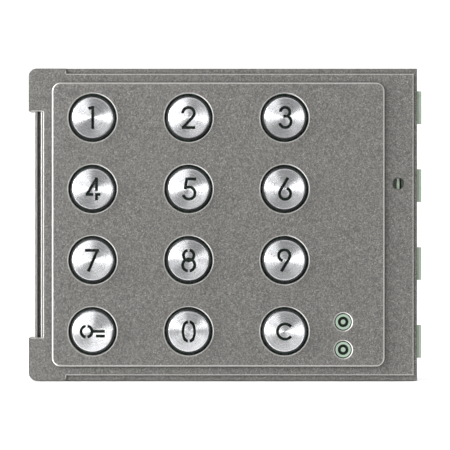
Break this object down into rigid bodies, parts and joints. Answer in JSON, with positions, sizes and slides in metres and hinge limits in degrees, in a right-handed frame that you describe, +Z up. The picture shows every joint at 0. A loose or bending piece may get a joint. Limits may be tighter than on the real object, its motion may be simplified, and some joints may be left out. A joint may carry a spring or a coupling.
{
  "type": "keypad access reader module",
  "caption": "Flat door entry keypad module: textured grey cover with sprung round metal keys, status lenses, a hinge rail, a sliding latch strip and a rear electronics housing.",
  "frame": {"origin": "centre of the flat rear mounting face", "axes": "+X to the right seen from the front, +Z up, the keys face -Y and the mounting face faces +Y"},
  "size_m": [0.1145, 0.027, 0.0908],
  "materials": {
    "cover_paint": "fine textured grey paint",
    "key_metal": "turned, circular brushed",
    "core_green": "dark green translucent plastic",
    "carbon": "carbon filled silicone",
    "silicone": "milky silicone",
    "guide_green": "green translucent plastic",
    "screw_steel": "zinc plated",
    "lens_green": "pale green translucent plastic",
    "latch_green": "pale green translucent plastic",
    "black_plastic": "fine spark eroded texture",
    "spring_steel": "bright spring strip",
    "gasket_rubber": "closed cell rubber",
    "board_laminate": "solder resist",
    "led_resin": "clear resin over phosphor",
    "chip_resin": "moulded epoxy",
    "relay_case": "moulded plastic",
    "capacitor_can": "sleeved can",
    "ceramic_parts": "fired ceramic",
    "socket_ivory": "moulded plastic",
    "terminal_case": "moulded plastic",
    "terminal_metal": "nickel plated"
  },
  "bodies": {
    "module_body": {"front_cover": "cover_paint", "silicone_key_mat": "silicone", "key_guide_plate": "guide_green", "guide_plate_screws": "screw_steel", "board_screws": "screw_steel", "housing_screws": "screw_steel", "status_lens_upper": "lens_green", "status_lens_lower": "lens_green", "latch_carrier": "black_plastic", "rear_housing": "black_plastic", "latch_springs": "spring_steel", "cover_gasket": "gasket_rubber", "circuit_board": "board_laminate", "backlight_leds": "led_resin", "status_leds": "led_resin", "microcontroller": "chip_resin", "lock_relay": "relay_case", "smoothing_capacitors": "capacitor_can", "small_board_parts": "ceramic_parts", "line_in_socket": "socket_ivory", "line_out_socket": "socket_ivory", "terminal_block": "terminal_case", "terminal_screws": "terminal_metal"},
    "key_1": {"key_cap_1": "key_metal", "key_core_1": "core_green", "contact_pill_1": "carbon"},
    "key_2": {"key_cap_2": "key_metal", "key_core_2": "core_green", "contact_pill_2": "carbon"},
    "key_3": {"key_cap_3": "key_metal", "key_core_3": "core_green", "contact_pill_3": "carbon"},
    "key_4": {"key_cap_4": "key_metal", "key_core_4": "core_green", "contact_pill_4": "carbon"},
    "key_5": {"key_cap_5": "key_metal", "key_core_5": "core_green", "contact_pill_5": "carbon"},
    "key_6": {"key_cap_6": "key_metal", "key_core_6": "core_green", "contact_pill_6": "carbon"},
    "key_7": {"key_cap_7": "key_metal", "key_core_7": "core_green", "contact_pill_7": "carbon"},
    "key_8": {"key_cap_8": "key_metal", "key_core_8": "core_green", "contact_pill_8": "carbon"},
    "key_9": {"key_cap_9": "key_metal", "key_core_9": "core_green", "contact_pill_9": "carbon"},
    "key_enter": {"key_cap_enter": "key_metal", "key_core_enter": "core_green", "contact_pill_enter": "carbon"},
    "key_0": {"key_cap_0": "key_metal", "key_core_0": "core_green", "contact_pill_0": "carbon"},
    "key_clear": {"key_cap_clear": "key_metal", "key_core_clear": "core_green", "contact_pill_clear": "carbon"},
    "latch": {"latch_strip": "latch_green"}
  },
  "joints": [
    {"name": "key_1_press", "type": "slide", "parent": "module_body", "child": "key_1", "axis": [0, 1, 0], "range_m": [0, 0.0012], "stiffness_N_per_m": 1000, "springref_m": -0.0005, "deforming": ["silicone_key_mat"]},
    {"name": "key_2_press", "type": "slide", "parent": "module_body", "child": "key_2", "axis": [0, 1, 0], "range_m": [0, 0.0012], "stiffness_N_per_m": 1000, "springref_m": -0.0005, "deforming": ["silicone_key_mat"]},
    {"name": "key_3_press", "type": "slide", "parent": "module_body", "child": "key_3", "axis": [0, 1, 0], "range_m": [0, 0.0012], "stiffness_N_per_m": 1000, "springref_m": -0.0005, "deforming": ["silicone_key_mat"]},
    {"name": "key_4_press", "type": "slide", "parent": "module_body", "child": "key_4", "axis": [0, 1, 0], "range_m": [0, 0.0012], "stiffness_N_per_m": 1000, "springref_m": -0.0005, "deforming": ["silicone_key_mat"]},
    {"name": "key_5_press", "type": "slide", "parent": "module_body", "child": "key_5", "axis": [0, 1, 0], "range_m": [0, 0.0012], "stiffness_N_per_m": 1000, "springref_m": -0.0005, "deforming": ["silicone_key_mat"]},
    {"name": "key_6_press", "type": "slide", "parent": "module_body", "child": "key_6", "axis": [0, 1, 0], "range_m": [0, 0.0012], "stiffness_N_per_m": 1000, "springref_m": -0.0005, "deforming": ["silicone_key_mat"]},
    {"name": "key_7_press", "type": "slide", "parent": "module_body", "child": "key_7", "axis": [0, 1, 0], "range_m": [0, 0.0012], "stiffness_N_per_m": 1000, "springref_m": -0.0005, "deforming": ["silicone_key_mat"]},
    {"name": "key_8_press", "type": "slide", "parent": "module_body", "child": "key_8", "axis": [0, 1, 0], "range_m": [0, 0.0012], "stiffness_N_per_m": 1000, "springref_m": -0.0005, "deforming": ["silicone_key_mat"]},
    {"name": "key_9_press", "type": "slide", "parent": "module_body", "child": "key_9", "axis": [0, 1, 0], "range_m": [0, 0.0012], "stiffness_N_per_m": 1000, "springref_m": -0.0005, "deforming": ["silicone_key_mat"]},
    {"name": "key_enter_press", "type": "slide", "parent": "module_body", "child": "key_enter", "axis": [0, 1, 0], "range_m": [0, 0.0012], "stiffness_N_per_m": 1000, "springref_m": -0.0005, "deforming": ["silicone_key_mat"]},
    {"name": "key_0_press", "type": "slide", "parent": "module_body", "child": "key_0", "axis": [0, 1, 0], "range_m": [0, 0.0012], "stiffness_N_per_m": 1000, "springref_m": -0.0005, "deforming": ["silicone_key_mat"]},
    {"name": "key_clear_press", "type": "slide", "parent": "module_body", "child": "key_clear", "axis": [0, 1, 0], "range_m": [0, 0.0012], "stiffness_N_per_m": 1000, "springref_m": -0.0005, "deforming": ["silicone_key_mat"]},
    {"name": "latch_slide", "type": "slide", "parent": "module_body", "child": "latch", "axis": [-1, 0, 0], "range_m": [0, 0.0016], "stiffness_N_per_m": 2000, "springref_m": -0.0005, "deforming": ["latch_springs"]}
  ]
}
